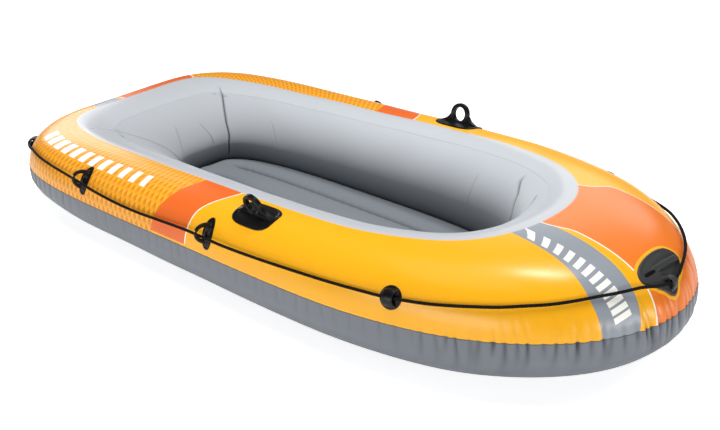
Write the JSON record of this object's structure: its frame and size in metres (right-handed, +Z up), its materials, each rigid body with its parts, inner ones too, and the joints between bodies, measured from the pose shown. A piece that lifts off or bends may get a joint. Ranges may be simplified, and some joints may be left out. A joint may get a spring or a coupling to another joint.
{
  "type": "inflatable fishing boat",
  "caption": "Small inflatable boat with a rounded bow and square stern, air chambers, padded floor, oarlocks, rope guides, a grab line and screw valves.",
  "frame": {"origin": "middle of the hull's flat underside, on the ground", "axes": "+X to the bow, +Z up, -Y is the near side of the picture"},
  "size_m": [2.3638, 1.1046, 0.3684],
  "materials": {
    "yellow_vinyl": "satin printed vinyl",
    "grey_vinyl": "satin vinyl",
    "floor_vinyl": "satin vinyl",
    "bottom_vinyl": "matte vinyl",
    "seam_vinyl": "welded vinyl edge",
    "black_rope": "braided cord",
    "black_rubber": "moulded, satin",
    "valve_body": "moulded",
    "valve_cap": "moulded",
    "clear_flap": "soft one-way flap"
  },
  "bodies": {
    "hull": {"bow_patch": "black_rubber", "floor_chamber": "floor_vinyl", "floor_valve_body": "valve_body", "grab_line": "black_rope", "hull_bottom": "bottom_vinyl", "inner_chamber": "grey_vinyl", "inner_valve_base": "valve_body", "oarlock_far": "black_rubber", "oarlock_near": "black_rubber", "outer_chamber": "yellow_vinyl", "outer_valve_base": "valve_body", "rope_guide_1": "black_rubber", "rope_guide_2": "black_rubber", "rope_guide_3": "black_rubber", "rope_guide_4": "black_rubber", "rope_guide_5": "black_rubber", "rope_guide_6": "black_rubber", "rope_guide_7": "black_rubber", "rope_guide_8": "black_rubber", "rope_knot": "black_rope", "seam_flange": "seam_vinyl"},
    "outer_core": {"outer_valve_core": "valve_body", "outer_valve_flap": "clear_flap"},
    "outer_cap": {"outer_valve_cap": "valve_cap"},
    "inner_core": {"inner_valve_core": "valve_body", "inner_valve_flap": "clear_flap"},
    "inner_cap": {"inner_valve_cap": "valve_cap"},
    "floor_plug": {"floor_valve_plug": "valve_cap"}
  },
  "joints": [
    {"name": "outer_core_turn", "type": "hinge", "parent": "hull", "child": "outer_core", "pos_m": [-0.33179, 0.50595, 0.2371], "axis": [-0.0181, 0.8244, 0.5658], "continuous": true},
    {"name": "outer_cap_hinge", "type": "hinge", "parent": "hull", "child": "outer_cap", "pos_m": [-0.35641, 0.51165, 0.24038], "axis": [-0.0212, -0.5661, 0.8241], "range_deg": [0, 140]},
    {"name": "inner_core_turn", "type": "hinge", "parent": "hull", "child": "inner_core", "pos_m": [-0.18963, -0.19564, 0.13983], "axis": [0.0321, 0.9982, -0.0497], "continuous": true},
    {"name": "inner_cap_hinge", "type": "hinge", "parent": "hull", "child": "inner_cap", "pos_m": [-0.16493, -0.1894, 0.14025], "axis": [0.0297, -0.0507, -0.9983], "range_deg": [0, 140]},
    {"name": "floor_plug_hinge", "type": "hinge", "parent": "hull", "child": "floor_plug", "pos_m": [-0.0807, -0.15794, 0.0859], "axis": [0, 1, 0], "range_deg": [0, 120]}
  ]
}
